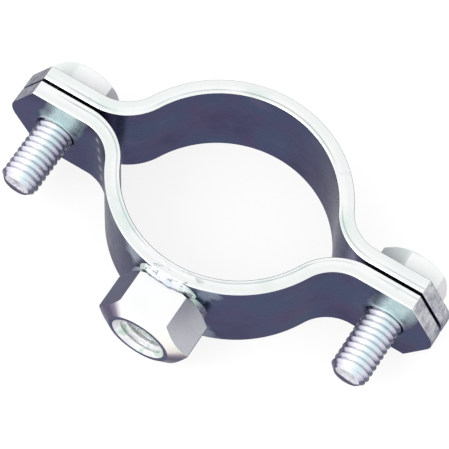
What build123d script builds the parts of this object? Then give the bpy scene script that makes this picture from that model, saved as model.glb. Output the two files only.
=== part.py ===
"""Two-piece pressed steel pipe ring, drawn shut with no pipe in it.

Frame: X runs along the ears, +Y points to the bolt heads, -Y to the welded nut's mouth and the
bolt tips, +Z runs along the pipe. The origin is on the ring's axis at the middle of the strip.
All sizes are in millimetres. Each half is one pressed strip, and both halves share one section.
"""

import os
from math import atan2, copysign, cos, degrees, radians, sin, sqrt, tan

from build123d import *

# ---------------------------------------------------------------- the two straps
STRIP_WIDTH = 16.0
STRIP_THICK = 2.3
CORNER_BREAK = 0.3  # the strip's broken corners
SEAT_RADIUS = 16.85  # half of a 33.7 mm pipe
SEAT_SHIFT = 2.3  # how far each seat's centre passes the middle when the halves are drawn shut
EAR_GAP = 0.8
BEND_RADIUS = 6.5  # on the hollow side of each bend
EAR_STRAIGHT = 31.8  # from the middle to where an ear's end starts to taper
EAR_TIP_RADIUS = 4.0
END_TAPER_ANGLE = 30.0  # how far the tapered edges lean from upright
BOLT_SPACING = 56.0

# ---------------------------------------------------------------- holes in the ears
CLEARANCE_RADIUS = 3.3
TAPPED_RADIUS = 3.0
TAPPED_CHAMFER = 0.3
LIP_FOOT_RADIUS = 4.1
LIP_TOP_RADIUS = 3.55
LIP_HEIGHT = 0.3  # how far the drawn metal stands proud of the ear
PUNCH_ENTRY = 0.5  # widening on the side where the punch went in

# ---------------------------------------------------------------- M6 x 16 hexagon set screws
THREAD_RADIUS = 2.95
BOLT_LENGTH = 16.0
BOLT_END_CHAMFER = 0.95
BOLT_CUP_RADIUS = 1.6  # the hollow that thread rolling leaves in the tip
BOLT_CUP_DEPTH = 0.4
HEAD_FLATS = 10.0
HEAD_HEIGHT = 4.0
WASHER_FACE_RADIUS = 4.6
WASHER_FACE_HEIGHT = 0.25
HEAD_TURNS = {"left": 44.0, "right": 39.0}  # how far each head happens to be turned

# ---------------------------------------------------------------- M8 hexagon nut, welded on
NUT_FLATS = 13.0
NUT_HEIGHT = 7.4
NUT_MOUTH_SHARE = 0.77  # circle left by the deep chamfer at the mouth, as a share of the size across flats
NUT_CORNER_RADIUS = 0.4
NUT_BORE_RADIUS = 3.4
NUT_COUNTERSINK_RADIUS = 4.2
BEAD_LENGTH = 8.6  # along the nut's top and bottom flats, where it is welded to the strap
BEAD_CREST = 7.7  # how high up the strap's width each bead reaches
BEAD_FOOT = 0.6  # how far it runs out over the nut's flat
BEAD_BULGE = 0.2

HEX_CHAMFER_ANGLE = 30.0
HEX_CHAMFER_SHARE = 0.95  # the same for the other chamfers

# ---------------------------------------------------------------- worked out from those
HALF_WIDTH = STRIP_WIDTH / 2
EAR_INNER = EAR_GAP / 2
EAR_OUTER = EAR_INNER + STRIP_THICK
EAR_END = EAR_STRAIGHT + EAR_TIP_RADIUS
BOLT_X = BOLT_SPACING / 2
CROWN_RADIUS = SEAT_RADIUS + STRIP_THICK
CROWN_Y = CROWN_RADIUS - SEAT_SHIFT
BEND_Y = EAR_OUTER + BEND_RADIUS
BEND_X = sqrt((CROWN_RADIUS + BEND_RADIUS) ** 2 - (BEND_Y + SEAT_SHIFT) ** 2)
MEET_ANGLE = degrees(atan2(BEND_Y + SEAT_SHIFT, BEND_X))
OVERRUN = 1.0  # extra length of cutting tools and buried ends


def save(part, node):
    """Write one sub-part as a STEP file named after its node."""
    part.label = node
    export_step(part, f"parts/{node}.step")


def turned(outline_points, x):
    """A solid of revolution about the bolt axis at x, from (radius, y) points and arcs."""
    return Pos(x, 0, 0) * revolve(make_face(outline_points), axis=Axis.Y)


def hexagon_prism(flats, start_y, end_y, turn=0.0, corner_radius=0.0):
    """A hexagonal prism along Y. With no turn, one flat faces +Z."""
    face = RegularPolygon(flats / 2, 6, major_radius=False, rotation=turn)
    if corner_radius:
        face = fillet(face.vertices(), corner_radius)
    upright = Plane(origin=(0, start_y, 0), x_dir=(1, 0, 0), z_dir=(0, -1, 0))
    return extrude(upright * face, amount=start_y - end_y)


def chamfer_envelope(flats, chamfered_y, plain_y, share=HEX_CHAMFER_SHARE):
    """What a 30 degree cone leaves of a hexagon whose end at chamfered_y is cut."""
    corner = flats / sqrt(3) + OVERRUN
    small = flats / 2 * share
    drop = (corner - small) * tan(radians(HEX_CHAMFER_ANGLE))
    cone_foot_y = chamfered_y + copysign(drop, plain_y - chamfered_y)
    outline = Polyline(
        (0, chamfered_y),
        (small, chamfered_y),
        (corner, cone_foot_y),
        (corner, plain_y),
        (0, plain_y),
        close=True,
    )
    return turned(outline, 0)


# ---------------------------------------------------------------- straps
def face_line(seat_radius, bend_radius, ear_y):
    """One broad face of the strip seen along the pipe: ear, bend, seat, bend, ear."""
    end_x = EAR_END + OVERRUN
    bend_sweep = 90 - MEET_ANGLE
    return [
        Line((-end_x, ear_y), (-BEND_X, ear_y)),
        CenterArc((-BEND_X, BEND_Y), bend_radius, -90, bend_sweep),
        CenterArc((0, -SEAT_SHIFT), seat_radius, 180 - MEET_ANGLE, 2 * MEET_ANGLE - 180),
        CenterArc((BEND_X, BEND_Y), bend_radius, 180 + MEET_ANGLE, bend_sweep),
        Line((BEND_X, ear_y), (end_x, ear_y)),
    ]


def strip_section():
    """The bent strip seen along the pipe."""
    inner = face_line(SEAT_RADIUS, BEND_RADIUS + STRIP_THICK, EAR_INNER)
    outer = face_line(CROWN_RADIUS, BEND_RADIUS, EAR_OUTER)
    end_x = EAR_END + OVERRUN
    ends = [Line((x, EAR_INNER), (x, EAR_OUTER)) for x in (-end_x, end_x)]
    return make_face(inner + outer + ends)


def blank_outline():
    """The strip seen from the front: straight edges, and ends that taper to a rounded tip."""
    lean = radians(END_TAPER_ANGLE)
    touch_x = EAR_STRAIGHT + EAR_TIP_RADIUS * cos(lean)
    touch_z = EAR_TIP_RADIUS * sin(lean)
    edges = []
    for side in (-1, 1):
        z = side * HALF_WIDTH
        edges.append(Line((-EAR_STRAIGHT, z), (EAR_STRAIGHT, z)))
        for end in (-1, 1):
            edges.append(Line((end * EAR_STRAIGHT, z), (end * touch_x, side * touch_z)))
    for end in (-1, 1):
        tip = (end * EAR_END, 0)
        edges.append(ThreePointArc((end * touch_x, -touch_z), tip, (end * touch_x, touch_z)))
    return Plane.XZ * make_face(edges)


def bare_strap():
    """The back half before its holes: bent strip, shaped ends and broken corners."""
    bent = extrude(strip_section(), amount=HALF_WIDTH, both=True)
    blank = extrude(blank_outline(), amount=CROWN_Y + OVERRUN, both=True)
    strap = bent & blank
    by_height = strap.edges().group_by(Axis.Z)
    corners = (by_height[0] + by_height[-1]).filter_by(Axis.Y, reverse=True)
    return chamfer(corners, CORNER_BREAK)


def back_strap():
    """The half under the bolt heads, with plain clearance holes."""
    strap = bare_strap()
    for x in (-BOLT_X, BOLT_X):
        hole = Polyline(
            (0, 0),
            (CLEARANCE_RADIUS, 0),
            (CLEARANCE_RADIUS, EAR_OUTER + OVERRUN),
            (0, EAR_OUTER + OVERRUN),
            close=True,
        )
        strap -= turned(hole, x)
    return strap


def hole_lip(x):
    """The low lip drawn up round a front ear's hole, before it is tapped."""
    foot_y = -EAR_OUTER + STRIP_THICK / 2
    outline = Polyline(
        (0, foot_y),
        (LIP_FOOT_RADIUS, foot_y),
        (LIP_FOOT_RADIUS, -EAR_OUTER),
        (LIP_TOP_RADIUS, -EAR_OUTER - LIP_HEIGHT),
        (0, -EAR_OUTER - LIP_HEIGHT),
        close=True,
    )
    return turned(outline, x)


def tapped_hole(x):
    """The tapped hole through an ear and its lip, wider where the punch went in."""
    mouth_y = -EAR_OUTER - LIP_HEIGHT
    mouth_radius = TAPPED_RADIUS + TAPPED_CHAMFER
    entry_radius = TAPPED_RADIUS + PUNCH_ENTRY
    outline = Polyline(
        (0, 0),
        (entry_radius, 0),
        (entry_radius, -EAR_INNER),
        (TAPPED_RADIUS, -EAR_INNER - PUNCH_ENTRY),
        (TAPPED_RADIUS, mouth_y + TAPPED_CHAMFER),
        (mouth_radius, mouth_y),
        (mouth_radius, mouth_y - OVERRUN),
        (0, mouth_y - OVERRUN),
        close=True,
    )
    return turned(outline, x)


def front_strap():
    """The half that the bolts screw into."""
    strap = mirror(bare_strap(), about=Plane.XZ)
    for x in (-BOLT_X, BOLT_X):
        strap += hole_lip(x)
        strap -= tapped_hole(x)
    return strap


# ---------------------------------------------------------------- welded nut
def weld_bead(side):
    """The bead between one flat of the nut and the edge of the strap: side 1 is the upper one."""
    root = side * (NUT_FLATS / 2 - OVERRUN)
    flat = side * NUT_FLATS / 2
    crest = side * BEAD_CREST
    foot_y = -CROWN_Y - BEAD_FOOT
    crest_y = -CROWN_Y + BEAD_FOOT
    middle = ((foot_y + crest_y) / 2 - BEAD_BULGE, (flat + crest) / 2 + side * BEAD_BULGE)
    section = [
        ThreePointArc((foot_y, flat), middle, (crest_y, crest)),
        Line((crest_y, crest), (-CROWN_Y + 2 * OVERRUN, crest)),
        Line((-CROWN_Y + 2 * OVERRUN, crest), (-CROWN_Y + 2 * OVERRUN, root)),
        Line((-CROWN_Y + 2 * OVERRUN, root), (foot_y, root)),
        Line((foot_y, root), (foot_y, flat)),
    ]
    return extrude(Plane.YZ * make_face(section), amount=BEAD_LENGTH / 2, both=True)


def nut_bore(foot_y, mouth_y):
    """The nut's bore, countersunk at both ends."""
    sink = NUT_COUNTERSINK_RADIUS - NUT_BORE_RADIUS
    outline = Polyline(
        (0, foot_y + OVERRUN),
        (NUT_COUNTERSINK_RADIUS, foot_y + OVERRUN),
        (NUT_COUNTERSINK_RADIUS, foot_y),
        (NUT_BORE_RADIUS, foot_y - sink),
        (NUT_BORE_RADIUS, mouth_y + sink),
        (NUT_COUNTERSINK_RADIUS, mouth_y),
        (NUT_COUNTERSINK_RADIUS, mouth_y - OVERRUN),
        (0, mouth_y - OVERRUN),
        close=True,
    )
    return turned(outline, 0)


def boss_nut():
    """An M8 hexagon nut and its two weld beads, which fit the crown of the front strap."""
    foot_y = -CROWN_Y
    mouth_y = foot_y - NUT_HEIGHT
    nut = hexagon_prism(NUT_FLATS, foot_y, mouth_y, corner_radius=NUT_CORNER_RADIUS)
    nut &= chamfer_envelope(NUT_FLATS, mouth_y, foot_y, NUT_MOUTH_SHARE)
    nut &= chamfer_envelope(NUT_FLATS, foot_y, mouth_y)
    for side in (-1, 1):
        nut += weld_bead(side)
    nut -= Pos(0, SEAT_SHIFT, 0) * Cylinder(CROWN_RADIUS, 2 * STRIP_WIDTH)
    return nut - nut_bore(foot_y, mouth_y)


# ---------------------------------------------------------------- bolts
def bolt(side):
    """An M6 x 16 hexagon set screw, its head against the back ear and its tip past the front."""
    head_foot = EAR_OUTER + WASHER_FACE_HEIGHT
    head_top = EAR_OUTER + HEAD_HEIGHT
    head = hexagon_prism(HEAD_FLATS, head_top, head_foot, turn=HEAD_TURNS[side])
    head &= chamfer_envelope(HEAD_FLATS, head_top, head_foot)
    tip_y = EAR_OUTER - BOLT_LENGTH
    shank = Polyline(
        (0, head_foot + OVERRUN),
        (WASHER_FACE_RADIUS, head_foot + OVERRUN),
        (WASHER_FACE_RADIUS, EAR_OUTER),
        (THREAD_RADIUS, EAR_OUTER),
        (THREAD_RADIUS, tip_y + BOLT_END_CHAMFER),
        (THREAD_RADIUS - BOLT_END_CHAMFER, tip_y),
        (BOLT_CUP_RADIUS, tip_y),
        (0, tip_y + BOLT_CUP_DEPTH),
        close=True,
    )
    x = BOLT_X if side == "right" else -BOLT_X
    return Pos(x, 0, 0) * (head + turned(shank, 0))


os.makedirs("parts", exist_ok=True)
save(front_strap(), "front_strap")
save(back_strap(), "back_strap")
save(boss_nut(), "boss_nut")
for side in HEAD_TURNS:
    save(bolt(side), f"bolt_{side}")
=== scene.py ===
"""The looks of a two-piece pipe ring in bright zinc plate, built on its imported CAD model.

Metres, in the model's own frame: X along the ears, +Y to the screw heads, +Z along the pipe.
"""

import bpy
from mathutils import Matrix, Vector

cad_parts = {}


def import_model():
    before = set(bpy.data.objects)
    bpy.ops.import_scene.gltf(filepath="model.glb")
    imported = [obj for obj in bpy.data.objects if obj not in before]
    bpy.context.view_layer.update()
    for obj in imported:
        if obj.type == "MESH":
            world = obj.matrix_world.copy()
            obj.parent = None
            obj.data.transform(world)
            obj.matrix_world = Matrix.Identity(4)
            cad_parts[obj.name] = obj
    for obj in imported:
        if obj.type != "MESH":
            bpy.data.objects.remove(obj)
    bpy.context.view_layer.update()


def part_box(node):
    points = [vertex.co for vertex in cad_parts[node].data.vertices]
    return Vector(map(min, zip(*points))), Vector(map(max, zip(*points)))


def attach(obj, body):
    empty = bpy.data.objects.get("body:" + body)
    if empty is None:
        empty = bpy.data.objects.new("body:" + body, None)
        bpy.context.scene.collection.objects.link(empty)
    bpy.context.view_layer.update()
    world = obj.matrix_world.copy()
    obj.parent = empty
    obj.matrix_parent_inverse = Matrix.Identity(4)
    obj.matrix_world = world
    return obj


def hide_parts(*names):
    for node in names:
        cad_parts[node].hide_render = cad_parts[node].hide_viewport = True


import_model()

from math import atan2, copysign, cos, degrees, hypot, pi, radians, sin, sqrt, tan

import bmesh
import bpy
from mathutils import Matrix, Vector, noise

MM = 0.001

# ---------------------------------------------------------------- sizes shared with the CAD model
STRIP_THICK = 2.3 * MM
SEAT_RADIUS = 16.85 * MM
SEAT_SHIFT = 2.3 * MM
BEND_RADIUS = 6.5 * MM
EAR_STRAIGHT = 31.8 * MM
EAR_TIP_RADIUS = 3.99 * MM  # 4.0 mm in the CAD model, whose mesh stops just short of it
END_TAPER_ANGLE = 30.0
BOLT_X = 28.0 * MM
CLEARANCE_RADIUS = 3.3 * MM
TAPPED_RADIUS = 3.0 * MM
LIP_FOOT_RADIUS = 4.1 * MM
LIP_TOP_RADIUS = 3.55 * MM
LIP_HEIGHT = 0.3 * MM
BOLT_END_CHAMFER = 0.95 * MM
BOLT_CUP_RADIUS = 1.6 * MM
BOLT_CUP_DEPTH = 0.4 * MM
HEAD_FLATS = 10.0 * MM
WASHER_FACE_RADIUS = 4.6 * MM
WASHER_FACE_HEIGHT = 0.25 * MM
HEAD_TURNS = {"left": 44.0, "right": 39.0}
NUT_FLATS = 13.0 * MM
NUT_MOUTH_SHARE = 0.77
NUT_CORNER_RADIUS = 0.4 * MM
HEX_CHAMFER_ANGLE = 30.0
HEX_CHAMFER_SHARE = 0.95

strap_low, strap_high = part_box("back_strap")
HALF_WIDTH = strap_high.z
EAR_INNER = strap_low.y
EAR_OUTER = EAR_INNER + STRIP_THICK
EAR_END = EAR_STRAIGHT + EAR_TIP_RADIUS
CROWN_RADIUS = SEAT_RADIUS + STRIP_THICK
CROWN_Y = CROWN_RADIUS - SEAT_SHIFT
BEND_Y = EAR_OUTER + BEND_RADIUS
BEND_X = sqrt((CROWN_RADIUS + BEND_RADIUS) ** 2 - (BEND_Y + SEAT_SHIFT) ** 2)
MEET_ANGLE = degrees(atan2(BEND_Y + SEAT_SHIFT, BEND_X))
MOUTH_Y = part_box("boss_nut")[0].y
TIP_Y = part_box("bolt_left")[0].y
HEAD_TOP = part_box("bolt_left")[1].y

# ---------------------------------------------------------------- detail the CAD model leaves out
GAP_CLOSING = 0.15 * MM  # how much nearer each ear stands to the other half
CORNER_ROUND = 0.3 * MM
GAP_ROUND = 0.1 * MM  # on the corners where the two halves face each other
SHEARED_ROUND = 0.12 * MM
HEX_ROUND = 0.07 * MM
NUT_SINK_RADIUS = 4.3 * MM
NUT_FOOT_RADII = (6.2 * MM, 6.45 * MM)  # weld metal under the nut's foot chamfer, front and back
NUT_FOOT_REACH = (0.3 * MM, 1.6 * MM)  # in front of the crown and behind it
HEAD_CLEARANCE = 0.01 * MM  # between a head's washer face and the ear
FLOOR_DROP = 0.02 * MM  # below the strip's lower edges
HOLE_ROUND = 0.15 * MM
TAPPED_MOUTH = 0.34 * MM  # how much the thread's mouth is widened
LIP_ROUND = 0.12 * MM
ARC_STEP = 2.0  # degrees of bend for each facet
LATHE_STEPS = 96
OVERRUN = 1.0 * MM

SCREW_PITCH = 1.0 * MM
SCREW_CREST = 2.95 * MM
SCREW_ROOT = 2.48 * MM
BOSS_PITCH = 1.25 * MM
BOSS_CREST = 4.0 * MM
BOSS_ROOT = 3.4 * MM
THREAD_STEPS = 72  # around one turn
# one pitch of thread: share of the pitch along the axis, and share of the depth from root to crest
THREAD_PROFILE = [
    (0.0, 0.92),
    (0.06, 1.0),
    (0.2, 1.0),
    (0.26, 0.92),
    (0.56, 0.06),
    (0.62, 0.0),
    (0.68, 0.06),
]

BEAD_HALF_LENGTH = 4.7 * MM
BEAD_MIDDLE_Y = -CROWN_Y + 0.1 * MM
BEAD_MIDDLE_Z = 6.4 * MM
BEAD_REACH_Y = 1.0 * MM
BEAD_REACH_Z = 1.55 * MM
BEAD_HOLLOW = 1.25  # 1 gives a bead with a full round face, and 3 a deep fillet
BEAD_SAG = (3.2 * MM, 0.9)  # past this x, how much it drops for each unit of x
BEAD_STEPS = 90
BEAD_SIDES = 24
BEAD_LUMPS = 0.14  # share of its reach


# ---------------------------------------------------------------- mesh helpers
def new_piece(name, bm):
    """An object from a closed bmesh, with its faces turned outwards."""
    bmesh.ops.recalc_face_normals(bm, faces=bm.faces)
    mesh = bpy.data.meshes.new(name)
    bm.to_mesh(mesh)
    bm.free()
    piece = bpy.data.objects.new(name, mesh)
    bpy.context.scene.collection.objects.link(piece)
    return piece


def settle(piece):
    """Make the piece's modifiers part of its mesh."""
    graph = bpy.context.evaluated_depsgraph_get()
    mesh = bpy.data.meshes.new_from_object(piece.evaluated_get(graph))
    piece.modifiers.clear()
    piece.data = mesh
    mesh.name = piece.name


def boolean(piece, other, operation):
    """Join, cut or keep the common part, and use the other solid up."""
    modifier = piece.modifiers.new(operation, "BOOLEAN")
    modifier.operation = operation
    modifier.solver = "EXACT"
    modifier.object = other
    settle(piece)
    bpy.data.objects.remove(other)


def round_edges(piece, width, segments, by_weight=False):
    """Round a piece's edges: the weighted ones, or all those that turn sharply."""
    bevel = piece.modifiers.new("round", "BEVEL")
    bevel.width = width
    bevel.segments = segments
    bevel.use_clamp_overlap = False
    bevel.limit_method = "WEIGHT" if by_weight else "ANGLE"
    bevel.angle_limit = radians(25)
    settle(piece)


def shade(piece, sharp_angle):
    """Smooth shading that keeps flats flat and sharp edges sharp."""
    piece.data.shade_smooth()
    piece.data.set_sharp_from_angle(angle=radians(sharp_angle))
    weighted = piece.modifiers.new("flats", "WEIGHTED_NORMAL")
    weighted.keep_sharp = True
    settle(piece)


def arc(centre, radius, start, end, step=ARC_STEP):
    """Points along an arc, both ends included, with angles in degrees."""
    count = max(2, round(abs(end - start) / step))
    turns = [radians(start + (end - start) * i / count) for i in range(count + 1)]
    return [(centre[0] + radius * cos(t), centre[1] + radius * sin(t)) for t in turns]


def prism(name, outline, place, low, high):
    """A closed outline pushed from low to high. place(a, b, c) gives a point from both."""
    bm = bmesh.new()
    rings = [[bm.verts.new(place(a, b, c)) for a, b in outline] for c in (low, high)]
    count = len(outline)
    for i in range(count):
        j = (i + 1) % count
        bm.faces.new((rings[0][i], rings[0][j], rings[1][j], rings[1][i]))
    bm.faces.new(rings[0])
    bm.faces.new(rings[1])
    return new_piece(name, bm)


def around(x, radius, y, turn):
    """A point at a radius and turn about the bolt axis at x. Turn 0 is +Z, and it runs towards +X."""
    return (x + radius * sin(turn), y, radius * cos(turn))


def lathe(name, profile, x=0.0):
    """A solid of revolution about the Y line at x. The profile starts and ends on the axis."""
    bm = bmesh.new()
    rings = []
    for radius, y in profile:
        if radius == 0:
            rings.append([bm.verts.new((x, y, 0))] * LATHE_STEPS)
        else:
            turns = (2 * pi * i / LATHE_STEPS for i in range(LATHE_STEPS))
            rings.append([bm.verts.new(around(x, radius, y, t)) for t in turns])
    for ring, after in zip(rings, rings[1:]):
        for i in range(LATHE_STEPS):
            j = (i + 1) % LATHE_STEPS
            corners = dict.fromkeys((ring[i], ring[j], after[j], after[i]))
            if len(corners) > 2:
                bm.faces.new(list(corners))
    return new_piece(name, bm)


def thread(name, x, low, high, pitch, root, crest):
    """A long right-handed thread about the Y line at x, closed at both ends."""
    profile_count = len(THREAD_PROFILE)
    steps = (int((high - low) / pitch) + 2) * THREAD_STEPS
    bm = bmesh.new()
    grid = []
    for i in range(steps + 1):
        turn = 2 * pi * i / THREAD_STEPS
        y = low - pitch + pitch * i / THREAD_STEPS
        row = []
        for along, depth in THREAD_PROFILE:
            radius = root + (crest - root) * depth
            row.append(bm.verts.new(around(x, radius, y + along * pitch, turn)))
        grid.append(row)

    def vertex(i, k):
        return grid[i + THREAD_STEPS][0] if k == profile_count else grid[i][k]

    last = steps - THREAD_STEPS
    for i in range(last):
        for k in range(profile_count):
            bm.faces.new((vertex(i, k), vertex(i + 1, k), vertex(i + 1, k + 1), vertex(i, k + 1)))
    for i in (0, last):
        rim = [vertex(i + j, 0) for j in range(THREAD_STEPS + 1)]
        rim += [vertex(i, k) for k in range(profile_count - 1, 0, -1)]
        middle = bm.verts.new((x, sum(v.co.y for v in rim) / len(rim), 0))
        for one, two in zip(rim, rim[1:] + rim[:1]):
            bm.faces.new((one, two, middle))
    return new_piece(name, bm)


def hexagon(name, flats, foot_y, end_y, x, turn, corner_radius=0.0):
    """A hexagonal prism along Y, with a flat facing +Z at no turn."""
    outline = []
    for i in range(6):
        corner = radians(60 * i + turn)
        reach = flats / sqrt(3) - 2 * corner_radius / sqrt(3)
        centre = (reach * cos(corner), reach * sin(corner))
        if corner_radius:
            start = 60 * i + turn - 30
            outline += arc(centre, corner_radius, start, start + 60, step=12)
        else:
            outline.append(centre)
    return prism(name, outline, lambda a, b, y: (x + a, y, b), foot_y, end_y)


def hex_chamfer(flats, x, chamfered_y, plain_y, share=HEX_CHAMFER_SHARE):
    """What a 30 degree cone leaves of a hexagon whose end at chamfered_y is cut."""
    corner = flats / sqrt(3) + OVERRUN
    small = flats / 2 * share
    drop = (corner - small) * tan(radians(HEX_CHAMFER_ANGLE))
    cone_foot_y = chamfered_y + copysign(drop, plain_y - chamfered_y)
    beyond_y = plain_y + copysign(OVERRUN, plain_y - chamfered_y)
    cone = [(0, chamfered_y), (small, chamfered_y), (corner, cone_foot_y)]
    return lathe("chamfer", cone + [(corner, beyond_y), (0, beyond_y)], x)


# ---------------------------------------------------------------- straps
def face_points(seat_radius, bend_radius, closing=0.0):
    """One broad face of the strip seen along the pipe: ear, bend, seat, bend, ear."""
    seat = arc((0, -SEAT_SHIFT), seat_radius, 180 - MEET_ANGLE, MEET_ANGLE)
    bend = arc((BEND_X, BEND_Y), bend_radius, 180 + MEET_ANGLE, 270)
    bend = [(x, y - closing * i / (len(bend) - 1)) for i, (x, y) in enumerate(bend)]
    bend.append((EAR_END + OVERRUN, bend[-1][1]))
    return [(-x, y) for x, y in reversed(bend)] + seat[1:-1] + bend


def bent_strip(name, side):
    """The strip before its ends are cut, made of quads across its thickness and width."""
    inner = face_points(SEAT_RADIUS, BEND_RADIUS + STRIP_THICK, GAP_CLOSING)
    outer = face_points(CROWN_RADIUS, BEND_RADIUS)
    bm = bmesh.new()
    rings = []
    for (inner_x, inner_y), (outer_x, outer_y) in zip(inner, outer):
        corners = (
            (inner_x, side * inner_y, -HALF_WIDTH),
            (outer_x, side * outer_y, -HALF_WIDTH),
            (outer_x, side * outer_y, HALF_WIDTH),
            (inner_x, side * inner_y, HALF_WIDTH),
        )
        rings.append([bm.verts.new(corner) for corner in corners])
    for ring, after in zip(rings, rings[1:]):
        for i in range(4):
            j = (i + 1) % 4
            bm.faces.new((ring[i], ring[j], after[j], after[i]))
    bm.faces.new(rings[0])
    bm.faces.new(rings[-1])
    return new_piece(name, bm)


def blank():
    """The strip's outline seen from the front, pushed through both halves."""
    outline = []
    for end in (1, -1):
        tip = arc((0, 0), EAR_TIP_RADIUS, -END_TAPER_ANGLE, END_TAPER_ANGLE, step=6)
        points = [taper_start(-1)] + tip + [taper_start(1)]
        outline += [(end * (EAR_STRAIGHT + x), end * z) for x, z in points]
    reach = CROWN_Y + OVERRUN
    return prism("blank", outline, lambda a, b, y: (a, y, b), -reach, reach)


def taper_start(side):
    """Where the tapered edge's line passes outside the strip's width, from the end of the straight."""
    lean = radians(END_TAPER_ANGLE)
    touch_x, touch_z = EAR_TIP_RADIUS * cos(lean), EAR_TIP_RADIUS * sin(lean)
    slope = touch_x / (touch_z - HALF_WIDTH)
    return (slope * OVERRUN, side * (HALF_WIDTH + OVERRUN))


def weigh_edges(piece):
    """Full rounding on the strip's rolled corners, and a light one on the sheared ends."""
    bm = bmesh.new()
    bm.from_mesh(piece.data)
    bmesh.ops.remove_doubles(bm, verts=bm.verts, dist=0.001 * MM)
    layer = bm.edges.layers.float.new("bevel_weight_edge")
    for edge in bm.edges:
        if len(edge.link_faces) != 2 or edge.calc_face_angle(0) < radians(25):
            continue
        one, two = (vert.co for vert in edge.verts)
        on_edge = abs(abs(one.z) - HALF_WIDTH) < 0.01 * MM and abs(abs(two.z) - HALF_WIDTH) < 0.01 * MM
        across = abs(one.y - two.y) > 0.9 * (one - two).length and abs(one.x) > EAR_STRAIGHT - 0.1 * MM
        in_gap = abs(one.y) < EAR_INNER + 0.1 * MM and abs(two.y) < EAR_INNER + 0.1 * MM
        if not on_edge or across:
            edge[layer] = SHEARED_ROUND / CORNER_ROUND
        else:
            edge[layer] = GAP_ROUND / CORNER_ROUND if in_gap else 1.0
    bm.to_mesh(piece.data)
    bm.free()


def hole_profile(radius, low, high, low_mouth=HOLE_ROUND, high_mouth=HOLE_ROUND):
    """A hole between two faces, widened at both mouths."""
    return [
        (0, low - OVERRUN),
        (radius + low_mouth, low - OVERRUN),
        (radius + low_mouth, low),
        (radius, low + low_mouth),
        (radius, high - high_mouth),
        (radius + high_mouth, high),
        (radius + high_mouth, high + OVERRUN),
        (0, high + OVERRUN),
    ]


def lip_profile():
    """The low lip drawn up round a hole in a front ear."""
    foot_y = -EAR_OUTER + STRIP_THICK / 2
    top_y = -EAR_OUTER - LIP_HEIGHT
    rounded = arc((LIP_TOP_RADIUS - LIP_ROUND, top_y + LIP_ROUND), LIP_ROUND, -20, -90, step=14)
    foot = [(0, foot_y), (LIP_FOOT_RADIUS, foot_y), (LIP_FOOT_RADIUS, -EAR_OUTER)]
    return foot + rounded + [(0, top_y)]


def strap(name, side):
    """One half of the ring: side 1 is the back half, and -1 the front half."""
    piece = bent_strip(name, side)
    boolean(piece, blank(), "INTERSECT")
    weigh_edges(piece)
    round_edges(piece, CORNER_ROUND, 4, by_weight=True)
    for x in (-BOLT_X, BOLT_X):
        if side > 0:
            profile = hole_profile(CLEARANCE_RADIUS, EAR_INNER - GAP_CLOSING, EAR_OUTER)
            boolean(piece, lathe("hole", profile, x), "DIFFERENCE")
        else:
            boolean(piece, lathe("lip", lip_profile(), x), "UNION")
            mouth_y = -EAR_OUTER - LIP_HEIGHT
            back_y = -EAR_INNER + GAP_CLOSING
            profile = hole_profile(TAPPED_RADIUS, mouth_y, back_y, low_mouth=TAPPED_MOUTH)
            boolean(piece, lathe("hole", profile, x), "DIFFERENCE")
    shade(piece, 30)
    return piece


# ---------------------------------------------------------------- screws
def screw(name, x, turn):
    """A hexagon set screw, threaded from its tip to its head."""
    shank = thread(name, x, TIP_Y, EAR_OUTER, SCREW_PITCH, SCREW_ROOT, SCREW_CREST)
    wide = SCREW_CREST + 0.1 * MM
    neck_y = EAR_OUTER + WASHER_FACE_HEIGHT
    cup_y = TIP_Y + BOLT_CUP_DEPTH
    cup = [(0, cup_y), (0.5 * BOLT_CUP_RADIUS, cup_y - 0.15 * BOLT_CUP_DEPTH), (BOLT_CUP_RADIUS, TIP_Y)]
    length = [
        *cup,
        (wide - BOLT_END_CHAMFER, TIP_Y),
        (wide, TIP_Y + BOLT_END_CHAMFER),
        (wide, neck_y),
        (0, neck_y),
    ]
    boolean(shank, lathe("length", length, x), "INTERSECT")
    head = hexagon("head", HEAD_FLATS, neck_y, HEAD_TOP, x, turn)
    boolean(head, hex_chamfer(HEAD_FLATS, x, HEAD_TOP, EAR_OUTER), "INTERSECT")
    round_edges(head, HEX_ROUND, 3)
    inside_y = (EAR_OUTER + HEAD_TOP) / 2
    seat_y = EAR_OUTER + HEAD_CLEARANCE
    washer = [(0, seat_y), (WASHER_FACE_RADIUS, seat_y), (WASHER_FACE_RADIUS, inside_y), (0, inside_y)]
    boolean(head, lathe("washer", washer, x), "UNION")
    boolean(shank, head, "UNION")
    shade(shank, 32)
    return shank


# ---------------------------------------------------------------- welded nut
def boss():
    """The hexagon nut, chamfered at both ends, with its countersinks and thread."""
    foot_y = -CROWN_Y
    piece = hexagon("hex_boss", NUT_FLATS, foot_y, MOUTH_Y, 0, 0, NUT_CORNER_RADIUS)
    boolean(piece, hex_chamfer(NUT_FLATS, 0, MOUTH_Y, foot_y, NUT_MOUTH_SHARE), "INTERSECT")
    boolean(piece, hex_chamfer(NUT_FLATS, 0, foot_y, MOUTH_Y), "INTERSECT")
    front_y, back_y = foot_y - NUT_FOOT_REACH[0], foot_y + NUT_FOOT_REACH[1]
    foot = [(0, front_y), (NUT_FOOT_RADII[0], front_y), (NUT_FOOT_RADII[1], back_y), (0, back_y)]
    boolean(piece, lathe("foot", foot), "UNION")
    tap = thread("tap", 0, MOUTH_Y - OVERRUN, foot_y + OVERRUN, BOSS_PITCH, BOSS_ROOT, BOSS_CREST)
    boolean(piece, tap, "DIFFERENCE")
    for end_y, outwards in ((MOUTH_Y, -1), (foot_y, 1)):
        beyond = end_y + outwards * OVERRUN
        inside = end_y - outwards * NUT_SINK_RADIUS
        cone = [(0, beyond), (NUT_SINK_RADIUS, beyond), (NUT_SINK_RADIUS, end_y), (0, inside)]
        boolean(piece, lathe("sink", cone), "DIFFERENCE")
    shade(piece, 24)
    return piece


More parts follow.
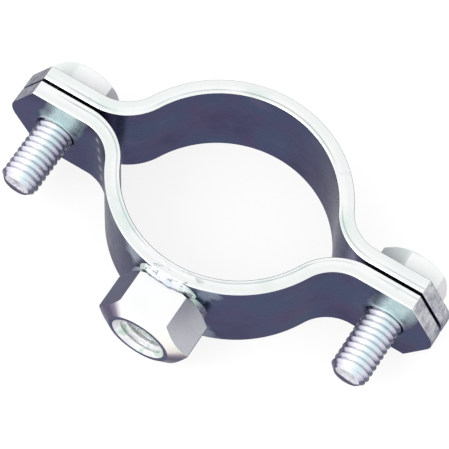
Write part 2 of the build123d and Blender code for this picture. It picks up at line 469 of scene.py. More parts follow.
def bead_ring(along, side):
    """One ring of points round a weld bead, where along runs from -1 to 1 over its length."""
    x = BEAD_HALF_LENGTH * along
    fullness = sqrt(max(0.0, 1 - along**6))
    follow = CROWN_RADIUS - sqrt(CROWN_RADIUS**2 - x**2)
    sag = BEAD_SAG[1] * max(0.0, abs(x) - BEAD_SAG[0])
    points = []
    for k in range(BEAD_SIDES):
        turn = 2 * pi * k / BEAD_SIDES
        lump = noise.noise(Vector((1500 * x, 1.6 * cos(turn), 1.6 * sin(turn) + 5 * side)))
        size = fullness * (1 - BEAD_LUMPS * (0.5 + lump))
        forward = copysign(abs(cos(turn)) ** BEAD_HOLLOW, cos(turn))
        upward = copysign(abs(sin(turn)) ** BEAD_HOLLOW, sin(turn))
        y = BEAD_MIDDLE_Y + follow + BEAD_REACH_Y * size * forward
        z = side * (BEAD_MIDDLE_Z - sag + BEAD_REACH_Z * size * upward)
        points.append((x, y, z))
    return points


def weld_beads():
    """The lumpy beads that hold the nut's top and bottom flats to the strap."""
    bm = bmesh.new()
    for side in (1, -1):
        stations = [-cos(pi * i / BEAD_STEPS) for i in range(1, BEAD_STEPS)]
        rings = [[bm.verts.new(point) for point in bead_ring(along, side)] for along in stations]
        for ring, after in zip(rings, rings[1:]):
            for k in range(BEAD_SIDES):
                m = (k + 1) % BEAD_SIDES
                bm.faces.new((ring[k], ring[m], after[m], after[k]))
        bm.faces.new(rings[0])
        bm.faces.new(rings[-1])
    piece = new_piece("weld_beads", bm)
    piece.data.shade_smooth()
    return piece


# ---------------------------------------------------------------- materials
def linear(red, green, blue):
    """A shader colour from screen values of 0 to 255."""
    def channel(value):
        value /= 255
        return value / 12.92 if value <= 0.04045 else ((value + 0.055) / 1.055) ** 2.4

    return (channel(red), channel(green), channel(blue), 1.0)


# the dark plating named here is the painted dark reflection tone
EDGE_TINT = (0.57, 0.57, 0.6, 1.0)  # keeps dark plating dark where it is seen at a slant


class Zinc:
    """A bright zinc plate material: its shader, and short calls for the nodes that feed it."""

    def __init__(self, name, roughness, metallic=1.0):
        self.material = bpy.data.materials.new(name)
        self.material.use_nodes = True
        self.nodes = self.material.node_tree.nodes
        self.links = self.material.node_tree.links
        self.shader = self.nodes["Principled BSDF"]
        self.shader.inputs["Metallic"].default_value = metallic
        self.shader.inputs["Specular Tint"].default_value = EDGE_TINT
        self.shader.inputs["Roughness"].default_value = roughness
        self.place = self.nodes.new("ShaderNodeTexCoord").outputs["Object"]

    def stretched(self, scale):
        """Object coordinates scaled by a vector, which stretches a texture along an axis."""
        mapping = self.nodes.new("ShaderNodeMapping")
        mapping.inputs["Scale"].default_value = scale
        self.links.new(self.place, mapping.inputs["Vector"])
        return mapping.outputs["Vector"]

    def noise(self, size, detail=3.0, roughness=0.5, stretch=(1, 1, 1)):
        """Noise whose features are about that size in metres."""
        node = self.nodes.new("ShaderNodeTexNoise")
        node.inputs["Scale"].default_value = 1 / size
        node.inputs["Detail"].default_value = detail
        node.inputs["Roughness"].default_value = roughness
        self.links.new(self.stretched(stretch), node.inputs["Vector"])
        return node.outputs["Fac"]

    def ramp(self, factor, *stops):
        """A colour ramp from (position, colour) stops."""
        node = self.nodes.new("ShaderNodeValToRGB")
        elements = node.color_ramp.elements
        for element, (position, colour) in zip(elements, (stops[0], stops[-1])):
            element.position = position
            element.color = colour
        for position, colour in stops[1:-1]:
            elements.new(position).color = colour
        self.links.new(factor, node.inputs["Fac"])
        return node.outputs["Color"]

    def spread(self, factor, low, high, from_low=0.3, from_high=0.7):
        """A factor's range moved to low and high."""
        node = self.nodes.new("ShaderNodeMapRange")
        values = {"From Min": from_low, "From Max": from_high, "To Min": low, "To Max": high}
        for name, value in values.items():
            node.inputs[name].default_value = value
        self.links.new(factor, node.inputs["Value"])
        return node.outputs["Result"]

    def mix(self, factor, one, two):
        """Two colours mixed by a factor."""
        node = self.nodes.new("ShaderNodeMix")
        node.data_type = "RGBA"
        for socket, value in zip((node.inputs[0], node.inputs[6], node.inputs[7]), (factor, one, two)):
            if isinstance(value, bpy.types.NodeSocket):
                self.links.new(value, socket)
            else:
                socket.default_value = value
        return node.outputs[2]

    def math(self, operation, one, two=0.0, three=0.0):
        """A maths node on sockets or numbers."""
        node = self.nodes.new("ShaderNodeMath")
        node.operation = operation
        for socket, value in zip(node.inputs, (one, two, three)):
            if isinstance(value, bpy.types.NodeSocket):
                self.links.new(value, socket)
            else:
                socket.default_value = value
        return node.outputs[0]

    def length(self, one, two):
        """The length of a flat vector from its two parts."""
        square = self.math("MULTIPLY_ADD", one, one, self.math("MULTIPLY", two, two))
        return self.math("SQRT", square)

    def split(self, vector):
        """A vector's x, y and z, as three sockets."""
        node = self.nodes.new("ShaderNodeSeparateXYZ")
        self.links.new(vector, node.inputs[0])
        return node.outputs[0], node.outputs[1], node.outputs[2]

    def axes(self):
        """The object's x, y and z, as three sockets."""
        return self.split(self.place)

    def mirrored_height(self):
        """How high the bumped surface, as a mirror, sends the view from the photo's camera.

        This is the height of TO_PHOTO_CAMERA mirrored in the surface's normal, and it picks the painted
        reflection tones.
        """
        turned = self.nodes.new("ShaderNodeVectorTransform")
        turned.vector_type = "NORMAL"
        turned.convert_from = "WORLD"
        turned.convert_to = "OBJECT"
        self.links.new(self.shader.inputs["Normal"].links[0].from_socket, turned.inputs[0])
        along = self.nodes.new("ShaderNodeVectorMath")
        along.operation = "DOT_PRODUCT"
        along.inputs[1].default_value = TO_PHOTO_CAMERA
        self.links.new(turned.outputs[0], along.inputs[0])
        upward = self.split(turned.outputs[0])[2]
        double = self.math("MULTIPLY", self.math("MULTIPLY", along.outputs["Value"], upward), 2.0)
        return self.math("SUBTRACT", double, TO_PHOTO_CAMERA.z)

    def colour(self, socket):
        self.links.new(socket, self.shader.inputs["Base Color"])

    def round_axis(self, axis_x):
        """The turn about the Y line at plus and minus axis_x, and the distance from it.

        The turn is 0.5 at +Z and grows by 1 for a whole turn, towards +X.
        """
        x, y, z = self.axes()
        across = self.math("SUBTRACT", x, self.math("MULTIPLY", self.math("SIGN", x), axis_x))
        turn = self.math("MULTIPLY_ADD", self.math("ARCTAN2", across, z), 0.5 / pi, 0.5)
        return turn, self.length(across, z)

    def by_turn(self, turn, *stops):
        """A colour ramp whose stops are at degrees of turn."""
        return self.ramp(turn, *[(0.5 + angle / 360, colour) for angle, colour in stops])

    def gloss(self, socket):
        self.links.new(socket, self.shader.inputs["Roughness"])

    def bump(self, height, depth):
        """Relief of a depth in metres, on top of any that is there already."""
        node = self.nodes.new("ShaderNodeBump")
        node.inputs["Distance"].default_value = depth
        self.links.new(height, node.inputs["Height"])
        normal = self.shader.inputs["Normal"]
        if normal.is_linked:
            self.links.new(normal.links[0].from_socket, node.inputs["Normal"])
        self.links.new(node.outputs["Normal"], normal)


# The direction from the ring to the photo's camera. The plating's tone is a painted reflection, worked out
# from what a mirror would show from there, so it is painted for that one place. It is a constant,
# fixed to the object, and no node reads the camera.
TO_PHOTO_CAMERA = Vector((0.208, -0.382, 0.901))

# the painted reflection, by the mirrored view's height: dark below the first of each pair, and the next
# tone past the second
DARK_TO_GREY = (-0.44, -0.27)
GREY_TO_PALE = (-0.25, -0.06)
PAINTED_REFLECTION_GREY = linear(144, 146, 160)

EDGE_LINE_DEPTH = 0.24  # of the fine line on the strip's edges, as a share of the thickness

# PATCH_LEAN leans the painted reflection patches over the screws
PATCH_LEAN = -0.27  # of the patches over the screws, as x for each unit of z

# the painted reflection dashes in the left front bend
GLINT_SPACING = 2.6 * MM
GLINT_X = -19.9 * MM
GLINT_LEAN = -0.071
GLINT_MIDDLE_Z = 1.0 * MM
GLINT_HALF_LENGTH = 6.3 * MM


def painted_dark_reflection(zinc, size):
    """Painted dark reflection on the plate: deep blue-violet, with faint purple and blue clouds."""
    clouds = zinc.ramp(
        zinc.noise(size, 3.0),
        (0.3, linear(70, 68, 98)),
        (0.48, linear(80, 80, 110)),
        (0.6, linear(74, 84, 112)),
        (0.75, linear(94, 90, 118)),
    )
    violet = zinc.spread(zinc.noise(0.6 * size, 2.0, 0.5, (1.3, 0.7, 1)), 0.0, 0.25, 0.54, 0.7)
    return zinc.mix(violet, clouds, linear(98, 72, 104))


def pale_plating(zinc, size):
    """Near white plating with faint green, teal and lilac clouds, which in the painted reflection tones
    also stands for the white a surface mirrors from above.
    """
    clouds = zinc.ramp(
        zinc.noise(size, 3.0),
        (0.3, linear(246, 246, 251)),
        (0.46, linear(253, 254, 254)),
        (0.58, linear(246, 251, 250)),
        (0.72, linear(228, 241, 236)),
    )
    specks = zinc.spread(zinc.noise(0.25 * size, 3.0), 0.0, 0.35, 0.64, 0.78)
    return zinc.mix(specks, clouds, linear(186, 198, 202))


def painted_reflection_tones(zinc, size, drop, pale):
    """Painted reflection: the plating's three tones, as mirrored for the fixed TO_PHOTO_CAMERA direction.
    A drop makes more of it pale.
    """
    height = zinc.math("ADD", zinc.mirrored_height(), drop)
    grey = zinc.mix(zinc.spread(zinc.noise(0.5 * size), 0.0, 0.5), PAINTED_REFLECTION_GREY, linear(162, 164, 177))
    low = zinc.mix(zinc.spread(height, 0.0, 1.0, *DARK_TO_GREY), painted_dark_reflection(zinc, size), grey)
    return zinc.mix(zinc.spread(height, 0.0, 1.0, *GREY_TO_PALE), low, pale)


def strip_zinc():
    """The strip's faces, edges and corners, with painted reflections over the screws, by the weld and in a
    bend, and painted light between the ears.
    """
    zinc = Zinc("zinc_strip", 0.28)
    zinc.bump(zinc.noise(0.28 * MM, 3.0), 0.003 * MM)
    zinc.bump(zinc.noise(2.5 * MM, 2.0), 0.02 * MM)
    reflection_over_screw, reflection_by_weld = painted_reflection_over_screw_mask(zinc), painted_reflection_by_weld_mask(zinc)
    depth = depth_into_strip(zinc)
    pale = drawn_edge(zinc, depth, pale_plating(zinc, 8 * MM))
    pale = zinc.mix(weld_specks(zinc), pale, linear(150, 158, 164))
    # painted reflection tones: dark where a face mirrors downward, grey between, pale where it mirrors
    # upward
    colour = painted_reflection_tones(zinc, 8 * MM, 0.0, pale)
    # painted light on the shaded inner faces between the ears
    colour = zinc.mix(painted_light_between_ears_mask(zinc, depth), colour, linear(150, 148, 174))
    # painted reflection of the screw's thread in the bend
    colour = zinc.mix(painted_thread_glints(zinc), colour, linear(226, 226, 236))
    colour = zinc.mix(reflection_over_screw, colour, painted_teal_reflection(zinc))
    # painted reflection beside the weld
    zinc.colour(zinc.mix(reflection_by_weld, colour, linear(146, 160, 180)))
    # Metallic is lowered under the painted reflections over the screws and by the weld
    dull = zinc.math("MAXIMUM", reflection_over_screw, reflection_by_weld)
    zinc.links.new(zinc.math("SUBTRACT", 1.0, dull), zinc.shader.inputs["Metallic"])
    zinc.gloss(zinc.spread(zinc.noise(0.4 * MM, 4.0, 0.6, (0.3, 0.3, 1)), 0.22, 0.36))
    return zinc.material


def painted_teal_reflection(zinc):
    """Painted reflection: the pale teal that the ears mirror above each screw."""
    return zinc.ramp(
        zinc.noise(2 * MM, 2.0),
        (0.32, linear(202, 226, 228)),
        (0.5, linear(214, 242, 242)),
        (0.68, linear(234, 250, 249)),
    )


def painted_reflection_over_screw_mask(zinc):
    """A soft leaning patch on each front ear, from its hole to its upper edge, where the screw's
    reflection is painted.
    """
    x, y, z = zinc.axes()
    wobble = zinc.spread(zinc.noise(2 * MM, 1.0), -0.3 * MM, 0.3 * MM)
    leaning_x = zinc.math("MULTIPLY_ADD", z, PATCH_LEAN, x)
    from_left = zinc.math("ABSOLUTE", zinc.math("ADD", leaning_x, BOLT_X))
    from_right = zinc.math("ABSOLUTE", zinc.math("SUBTRACT", leaning_x, BOLT_X))
    away = zinc.math("ADD", zinc.math("MINIMUM", from_left, from_right), wobble)
    near = zinc.spread(away, 1.0, 0.0, 1.4 * MM, 3.7 * MM)
    above = zinc.spread(z, 0.0, 1.0, 0.5 * MM, 3.5 * MM)
    front = zinc.math("LESS_THAN", y, -EAR_OUTER + 0.05 * MM)
    return zinc.math("MULTIPLY", zinc.math("MULTIPLY", near, above), zinc.math("MULTIPLY", front, 0.9))


def depth_into_strip(zinc):
    """How far through the strip's thickness a point lies: 0 on the inner face, 1 on the outer."""
    x, y, z = zinc.axes()
    x, y = zinc.math("ABSOLUTE", x), zinc.math("ABSOLUTE", y)
    past_seat = zinc.math("ADD", y, SEAT_SHIFT)
    from_seat = zinc.math("SUBTRACT", zinc.length(x, past_seat), SEAT_RADIUS)
    before_ear = zinc.math("MINIMUM", zinc.math("SUBTRACT", x, BEND_X), 0.0)
    to_bend = zinc.length(before_ear, zinc.math("SUBTRACT", BEND_Y, y))
    from_bend = zinc.math("SUBTRACT", BEND_RADIUS + STRIP_THICK, to_bend)
    lean = radians(MEET_ANGLE)
    side = zinc.math("MULTIPLY_ADD", past_seat, cos(lean), zinc.math("MULTIPLY", x, -sin(lean)))
    in_seat = zinc.math("GREATER_THAN", side, 0.0)
    more = zinc.math("MULTIPLY", in_seat, zinc.math("SUBTRACT", from_seat, from_bend))
    return zinc.math("DIVIDE", zinc.math("ADD", from_bend, more), STRIP_THICK)


def drawn_edge(zinc, depth, pale):
    """The strip's edges, greyer towards the outer face, with a fine broken line on the inner side."""
    outer = zinc.spread(depth, 0.0, 0.7, 0.42, 0.62)
    pale = zinc.mix(outer, pale, linear(240, 244, 242))
    off_line = zinc.math("ABSOLUTE", zinc.math("SUBTRACT", depth, EDGE_LINE_DEPTH))
    on_line = zinc.spread(off_line, 1.0, 0.0, 0.02, 0.07)
    broken = zinc.spread(zinc.noise(9 * MM, 2.0), 0.0, 0.7, 0.42, 0.62)
    return zinc.mix(zinc.math("MULTIPLY", on_line, broken), pale, linear(172, 178, 182))


def painted_light_between_ears_mask(zinc, depth):
    """The strip's inner faces where the halves close on each other: painted light, paler, against the
    shade there.
    """
    x, y, z = zinc.axes()
    along = zinc.spread(zinc.math("ABSOLUTE", x), 0.0, 1.0, 18.8 * MM, 20.6 * MM)
    inner = zinc.math("LESS_THAN", depth, 0.05)
    face = zinc.math("LESS_THAN", zinc.math("ABSOLUTE", z), HALF_WIDTH - 0.3 * MM)
    return zinc.math("MULTIPLY", along, zinc.math("MULTIPLY", inner, face))


def painted_thread_glints(zinc):
    """A row of short pale dashes in the left front bend: a painted reflection of the screw's thread."""
    x, y, z = zinc.axes()
    wave = zinc.math("SINE", zinc.math("MULTIPLY", z, 2 * pi / GLINT_SPACING))
    line = zinc.math("MULTIPLY_ADD", z, GLINT_LEAN, GLINT_X)
    away = zinc.math("ABSOLUTE", zinc.math("SUBTRACT", x, line))
    uneven = zinc.spread(zinc.noise(1.4 * MM, 2.0), -0.1 * MM, 0.18 * MM)
    near = zinc.spread(zinc.math("ADD", away, uneven), 1.0, 0.0, 0.16 * MM, 0.5 * MM)
    dash = zinc.spread(wave, 0.0, 0.5, -0.2, 0.6)
    middle = zinc.math("SUBTRACT", z, GLINT_MIDDLE_Z)
    inside = zinc.math("LESS_THAN", zinc.math("ABSOLUTE", middle), GLINT_HALF_LENGTH)
    front = zinc.math("LESS_THAN", y, -EAR_OUTER - 0.2 * MM)
    return zinc.math("MULTIPLY", zinc.math("MULTIPLY", near, dash), zinc.math("MULTIPLY", inside, front))


def weld_specks(zinc):
    """Grey dimples in the strip's edges beside the weld."""
    x, y, z = zinc.axes()
    near = zinc.spread(zinc.math("ABSOLUTE", x), 1.0, 0.0, 4 * MM, 8 * MM)
    front = zinc.spread(y, 1.0, 0.0, -CROWN_Y + 1.2 * MM, -CROWN_Y + 2.4 * MM)
    speck = zinc.spread(zinc.noise(1.1 * MM, 2.0, 0.5, (0.6, 1, 1)), 0.0, 0.9, 0.56, 0.64)
    return zinc.math("MULTIPLY", speck, zinc.math("MULTIPLY", near, front))


def painted_reflection_by_weld_mask(zinc):
    """Dull blue-grey patches past both ends of the weld beads: a painted reflection of what the crown
    mirrors there.
    """
    x, y, z = zinc.axes()
    off_middle = zinc.math("SUBTRACT", zinc.math("ABSOLUTE", x), BEAD_HALF_LENGTH + 1.2 * MM)
    low = zinc.math("SUBTRACT", HALF_WIDTH - 1.4 * MM, zinc.math("ABSOLUTE", z))
    low = zinc.math("MULTIPLY", zinc.math("MAXIMUM", low, 0.0), 0.6)
    away = zinc.math("ADD", zinc.math("ABSOLUTE", off_middle), low)
    wobble = zinc.spread(zinc.noise(1.2 * MM, 2.0), -0.6 * MM, 0.6 * MM)
    near = zinc.spread(zinc.math("ADD", away, wobble), 0.75, 0.0, 0.8 * MM, 2.3 * MM)
    front = zinc.math("LESS_THAN", y, -CROWN_Y + 2.2 * MM)
    face = zinc.math("LESS_THAN", zinc.math("ABSOLUTE", z), HALF_WIDTH - 0.1 * MM)
    return zinc.math("MULTIPLY", near, zinc.math("MULTIPLY", front, face))


def sheared_zinc():
    """The cut ends of the ears: mottled, torn across the thickness."""
    zinc = Zinc("zinc_sheared", 0.4)
    torn = zinc.noise(0.8 * MM, 4.0, 0.65, (1, 0.7, 1))
    zinc.bump(torn, 0.05 * MM)
    # painted reflection tones, then mixed with the mottled blotches
    colour = painted_reflection_tones(zinc, 3 * MM, 0.0, pale_plating(zinc, 3 * MM))
    blotches = zinc.ramp(
        zinc.noise(1.3 * MM, 4.0, 0.6),
        (0.36, linear(150, 150, 160)),
        (0.5, linear(206, 208, 208)),
        (0.62, linear(240, 242, 240)),
    )
    zinc.colour(zinc.mix(0.45, colour, blotches))
    zinc.gloss(zinc.spread(torn, 0.3, 0.5))
    return zinc.material


def nut_zinc():
    """Plating on the nut's flats, in painted reflection tones: white on top, grey on the right, dark on
    the left.
    """
    zinc = Zinc("zinc_nut", 0.26, 0.85)
    zinc.bump(zinc.noise(0.4 * MM, 3.0, 0.6), 0.005 * MM)
    white = zinc.mix(zinc.noise(4 * MM), linear(250, 252, 252), linear(255, 254, 255))
    zinc.colour(painted_reflection_tones(zinc, 3 * MM, 0.08, white))
    return zinc.material


def thread_zinc():
    """A screw's thread in painted reflection tones: pale above and below, dark along both sides, with a
    thin grey line at the root.
    """
    zinc = Zinc("zinc_thread", 0.3, 0.3)
    zinc.bump(zinc.noise(0.3 * MM, 3.0, 0.6), 0.004 * MM)
    turn, distance = zinc.round_axis(BOLT_X)
    # painted reflection by turn about the axis: dark along both sides, pale above and below
    tones = zinc.by_turn(
        turn,
        (-145, linear(205, 206, 218)),
        (-115, linear(72, 68, 98)),
        (-53, linear(84, 80, 108)),
        (-42, linear(214, 212, 230)),
        (-25, linear(238, 238, 248)),
        (2, linear(246, 248, 251)),
        (28, linear(216, 234, 241)),
        (48, linear(222, 223, 236)),
        (64, linear(190, 188, 212)),
        (76, linear(84, 82, 114)),
        (110, linear(72, 70, 100)),
        (135, linear(205, 206, 218)),
    )
    clouds = zinc.spread(zinc.noise(1.8 * MM, 3.0), 0.0, 0.5, 0.5, 0.75)
    tones = zinc.mix(clouds, tones, zinc.mix(0.5, tones, linear(206, 226, 222)))
    at_root = zinc.spread(distance, 0.55, 0.0, SCREW_ROOT + 0.02 * MM, SCREW_ROOT + 0.14 * MM)
    past_tip = zinc.math("GREATER_THAN", zinc.axes()[1], TIP_Y + 1.1 * MM)
    at_root = zinc.math("MULTIPLY", at_root, past_tip)
    zinc.colour(zinc.mix(at_root, tones, zinc.mix(0.55, tones, linear(60, 60, 84))))
    return zinc.material


def head_zinc():
    """A screw's head, pale with faint green and pink facets, in painted reflection tones: whitest on top,
    dark underneath.
    """
    zinc = Zinc("zinc_head", 0.3, 0.2)
    zinc.bump(zinc.noise(0.5 * MM, 3.0, 0.6), 0.006 * MM)
    turn = zinc.round_axis(BOLT_X)[0]
    # painted reflection by turn: whitest on top, dark underneath
    tones = zinc.by_turn(
        turn,
        (-110, linear(120, 122, 138)),
        (-75, linear(240, 246, 243)),
        (-18, linear(234, 241, 237)),
        (-10, linear(254, 254, 254)),
        (46, linear(255, 255, 255)),
        (54, linear(255, 251, 254)),
        (110, linear(252, 247, 251)),
        (135, linear(120, 118, 140)),
    )
    zinc.colour(zinc.mix(zinc.spread(zinc.noise(2.5 * MM), 0.0, 0.25), tones, linear(222, 240, 232)))
    return zinc.material


def head_end_zinc():
    """The outer end of a screw's head, evenly pale."""
    zinc = Zinc("zinc_head_end", 0.3, 0.6)
    zinc.bump(zinc.noise(0.5 * MM, 3.0, 0.6), 0.006 * MM)
    zinc.colour(
        zinc.ramp(
            zinc.noise(2.5 * MM, 3.0),
            (0.34, linear(216, 218, 228)),
            (0.5, linear(232, 236, 240)),
            (0.66, linear(222, 232, 231)),
        )
    )
    return zinc.material


def nut_mouth_zinc():
    """The nut's mouth chamfer in painted reflection tones: white above and to the right, dark on the left
    and below.
    """
    zinc = Zinc("zinc_nut_mouth", 0.28, 0.7)
    zinc.bump(zinc.noise(0.6 * MM, 3.0, 0.6), 0.01 * MM)
    turn = zinc.round_axis(0.0)[0]
    zinc.colour(
        # painted reflection by turn about the nut's axis
        zinc.by_turn(
            turn,
            (-150, linear(84, 78, 106)),
            (-58, linear(88, 80, 108)),
            (-44, linear(140, 130, 152)),
            (-32, linear(248, 247, 250)),
            (10, linear(255, 254, 252)),
            (60, linear(250, 247, 242)),
            (76, linear(236, 228, 222)),
            (87, linear(150, 138, 150)),
            (98, linear(84, 78, 106)),
        )
    )
    return zinc.material


def nut_bore_zinc():
    """The nut's thread and countersink: bright, with faint green."""
    zinc = Zinc("zinc_nut_bore", 0.3, 0.4)
    zinc.bump(zinc.noise(0.5 * MM, 3.0, 0.6), 0.01 * MM)
    zinc.colour(
        zinc.ramp(
            zinc.noise(1.6 * MM, 3.0),
            (0.34, linear(206, 226, 216)),
            (0.48, linear(252, 252, 252)),
            (0.66, linear(236, 236, 242)),
        )
    )
    return zinc.material


def weld_zinc():
    """The weld's silvery metal, with green tarnish and small grey dimples, painted dark on its low parts
    and with a painted shade line at its toe on the nut.
    """
    zinc = Zinc("zinc_weld", 0.32, 0.4)
    zinc.bump(zinc.noise(0.9 * MM, 3.0, 0.6), 0.1 * MM)
    silver = zinc.ramp(
        zinc.noise(1.5 * MM, 3.0),
        (0.34, linear(200, 222, 212)),
        (0.5, linear(244, 248, 248)),
        (0.64, linear(222, 228, 236)),
    )
    x, y, z = zinc.axes()
    green_end = zinc.spread(x, 0.0, 0.8, 2.8 * MM, 4.2 * MM)
    silver = zinc.mix(green_end, silver, linear(200, 226, 214))
    grey_end = zinc.spread(x, 0.8, 0.0, -4.8 * MM, -3.6 * MM)
    silver = zinc.mix(grey_end, silver, linear(166, 168, 184))
    # painted dark reflection on the weld's low parts, down the nut's sides
    low = zinc.spread(zinc.math("ABSOLUTE", z), 1.0, 0.0, 2.4 * MM, 4.4 * MM)
    silver = zinc.mix(low, silver, linear(96, 94, 122))
    dimples = zinc.spread(zinc.noise(1.0 * MM, 2.0, 0.5, (0.6, 1, 1)), 0.0, 0.9, 0.55, 0.62)
    silver = zinc.mix(dimples, silver, linear(132, 138, 152))
    # a painted shade line where the weld meets the nut's flat
    flat_z = NUT_FLATS / 2
    toe = zinc.spread(zinc.math("ABSOLUTE", z), 0.85, 0.0, flat_z + 0.25 * MM, flat_z + 0.45 * MM)
    on_nut = zinc.math("LESS_THAN", y, -CROWN_Y - 0.3 * MM)
    zinc.colour(zinc.mix(zinc.math("MULTIPLY", toe, on_nut), silver, linear(92, 94, 112)))
    return zinc.material


def screw_end_zinc():
    """The rough end of a screw's tip: pale, with grey scores and a painted shade on its lower rim."""
    zinc = Zinc("zinc_screw_end", 0.4, 0.4)
    scores = zinc.noise(0.7 * MM, 4.0, 0.6, (1, 1, 1.6))
    zinc.bump(scores, 0.05 * MM)
    scored = zinc.ramp(
        scores,
        (0.34, linear(150, 152, 172)),
        (0.44, linear(226, 226, 236)),
        (0.6, linear(250, 248, 252)),
    )
    x, y, z = zinc.axes()
    # painted shade: a dark rim outside a circle shifted up and across
    across = zinc.math("SUBTRACT", x, zinc.math("MULTIPLY", zinc.math("SIGN", x), BOLT_X))
    across = zinc.math("SUBTRACT", across, 0.25 * MM)
    upward = zinc.math("SUBTRACT", z, 0.85 * MM)
    rim = zinc.spread(zinc.length(across, upward), 0.0, 1.0, 1.95 * MM, 2.15 * MM)
    zinc.colour(zinc.mix(rim, scored, linear(88, 78, 104)))
    return zinc.material


def paint(piece, materials, choose):
    """Give each face the material whose index choose(centre, normal) returns."""
    for material in materials:
        piece.data.materials.append(material)
    for face in piece.data.polygons:
        face.material_index = choose(face.center, face.normal)


def strap_face_kind(centre, normal):
    """0 rolled strip with its zinc plate, 1 sheared end."""
    on_end = abs(centre.x) > EAR_STRAIGHT and abs(normal.y) < 0.8 and abs(normal.z) < 0.97
    return 1 if on_end else 0


def screw_face_kind(centre, normal):
    """0 thread, 1 the tip's end, 2 the head's sides, 3 its outer end."""
    if centre.y > EAR_OUTER + 0.01 * MM:
        return 3 if normal.y > 0.5 else 2
    return 1 if normal.y < -0.8 and centre.y < TIP_Y + BOLT_CUP_DEPTH + 0.01 * MM else 0


def nut_face_kind(centre, normal):
    """0 flats, 1 the mouth's chamfer, 2 bore, 3 weld metal under the foot."""
    off_axis = hypot(centre.x, centre.z)
    if off_axis < NUT_SINK_RADIUS and normal.y > -0.95:
        return 2
    if centre.y > -CROWN_Y - NUT_FOOT_REACH[0] and off_axis < NUT_FLATS / 2:
        return 3
    return 1 if -0.95 < normal.y < -0.6 else 0


# ---------------------------------------------------------------- studio
FLOOR_REACH = 3.0
FLOOR_GREY = 0.24
FLOOR_GLOW = 0.82  # seen by the camera and in reflections only, so that it lights nothing
WORLD_STRENGTH = 0.97
LAMP_PLACE = (-0.3, -0.55, 0.65)
LAMP_SIZE = 0.5
LAMP_POWER = 2.6


def floor():
    """A plain pale floor under the ring, which keeps its shadow."""
    mesh = bpy.data.meshes.new("floor")
    z = strap_low.z - FLOOR_DROP
    corners = [(x * FLOOR_REACH, y * FLOOR_REACH, z) for x, y in ((-1, -1), (1, -1), (1, 1), (-1, 1))]
    mesh.from_pydata(corners, [], [(0, 1, 2, 3)])
    plane = bpy.data.objects.new("floor", mesh)
    bpy.context.scene.collection.objects.link(plane)
    material = bpy.data.materials.new("floor")
    material.use_nodes = True
    nodes, links = material.node_tree.nodes, material.node_tree.links
    shader = nodes["Principled BSDF"]
    shader.inputs["Base Color"].default_value = (FLOOR_GREY, FLOOR_GREY, FLOOR_GREY, 1)
    shader.inputs["Roughness"].default_value = 0.9
    shader.inputs["Specular IOR Level"].default_value = 0.0
    shader.inputs["Emission Color"].default_value = (1, 1, 1, 1)
    path = nodes.new("ShaderNodeLightPath")
    seen = nodes.new("ShaderNodeMath")
    seen.operation = "MAXIMUM"
    links.new(path.outputs["Is Camera Ray"], seen.inputs[0])
    links.new(path.outputs["Is Glossy Ray"], seen.inputs[1])
    through = nodes.new("ShaderNodeMath")
    through.operation = "MAXIMUM"
    links.new(seen.outputs[0], through.inputs[0])
    links.new(path.outputs["Is Transmission Ray"], through.inputs[1])
    strength = nodes.new("ShaderNodeMath")
    strength.operation = "MULTIPLY"
    links.new(through.outputs[0], strength.inputs[0])
    strength.inputs[1].default_value = FLOOR_GLOW
    links.new(strength.outputs[0], shader.inputs["Emission Strength"])
    mesh.materials.append(material)


def world():
    """A plain white surround."""
    studio = bpy.data.worlds.new("studio")
    bpy.context.scene.world = studio
    studio.use_nodes = True
    background = studio.node_tree.nodes["Background"]
    background.inputs["Color"].default_value = (1, 1, 1, 1)
    background.inputs["Strength"].default_value = WORLD_STRENGTH


def lamp(name, place, size, power):
    """A soft square lamp aimed at the ring."""
    light = bpy.data.lights.new(name, "AREA")
    light.size = size
    light.energy = power
    holder = bpy.data.objects.new(name, light)
    holder.location = place
    holder.rotation_mode = "QUATERNION"
    holder.rotation_quaternion = (-Vector(place)).to_track_quat("-Z", "Y")
    bpy.context.scene.collection.objects.link(holder)


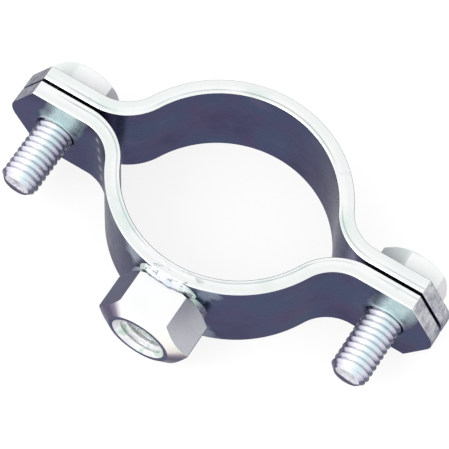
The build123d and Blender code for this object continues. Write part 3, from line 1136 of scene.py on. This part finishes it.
# the camera, in degrees and millimetres, and the lens for a 36 mm wide sensor
CAMERA_AZIMUTH = 28.61
CAMERA_ELEVATION = 64.25
CAMERA_ROLL = 3.62
CAMERA_DISTANCE = 432.22 * MM
CAMERA_TARGET = (0.86 * MM, -2.27 * MM, 0.0)
CAMERA_LENS = 239.33


def camera():
    """A long lens looking steeply down on the ring from the nut's side."""
    around_z, up = radians(CAMERA_AZIMUTH), radians(CAMERA_ELEVATION)
    roll = radians(CAMERA_ROLL)
    back = Vector((sin(around_z) * cos(up), -cos(around_z) * cos(up), sin(up)))
    level = Vector((cos(around_z), sin(around_z), 0))
    above = back.cross(level)
    right = level * cos(roll) + above * sin(roll)
    top = above * cos(roll) - level * sin(roll)
    place = Matrix((right, top, back)).transposed().to_4x4()
    place.translation = Vector(CAMERA_TARGET) + back * CAMERA_DISTANCE
    lens = bpy.data.cameras.new("camera")
    lens.sensor_width = 36
    lens.lens = CAMERA_LENS
    lens.clip_start = 0.01
    lens.clip_end = 20
    holder = bpy.data.objects.new("camera", lens)
    holder.matrix_world = place
    bpy.context.scene.collection.objects.link(holder)
    bpy.context.scene.camera = holder


# ---------------------------------------------------------------- the ring
strap_materials = [strip_zinc(), sheared_zinc()]
for name, side, node, body in (
    ("strap_back", 1, "back_strap", "back_half"),
    ("strap_front", -1, "front_strap", "front_half"),
):
    half = strap(name, side)
    paint(half, strap_materials, strap_face_kind)
    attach(half, body)
    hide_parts(node)

screw_materials = [
    thread_zinc(),
    screw_end_zinc(),
    head_zinc(),
    head_end_zinc(),
]
for side_name, x in (("left", -BOLT_X), ("right", BOLT_X)):
    fixing = screw(f"screw_{side_name}", x, HEAD_TURNS[side_name])
    paint(fixing, screw_materials, screw_face_kind)
    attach(fixing, f"bolt_{side_name}")
    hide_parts(f"bolt_{side_name}")

weld_material = weld_zinc()
nut_materials = [nut_zinc(), nut_mouth_zinc(), nut_bore_zinc(), weld_material]
for piece, materials, choose in (
    (boss(), nut_materials, nut_face_kind),
    (weld_beads(), [weld_material], lambda centre, normal: 0),
):
    paint(piece, materials, choose)
    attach(piece, "front_half")
    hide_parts("boss_nut")

floor()
world()
lamp("key", LAMP_PLACE, LAMP_SIZE, LAMP_POWER)
camera()
bpy.context.scene.view_settings.view_transform = "Standard"
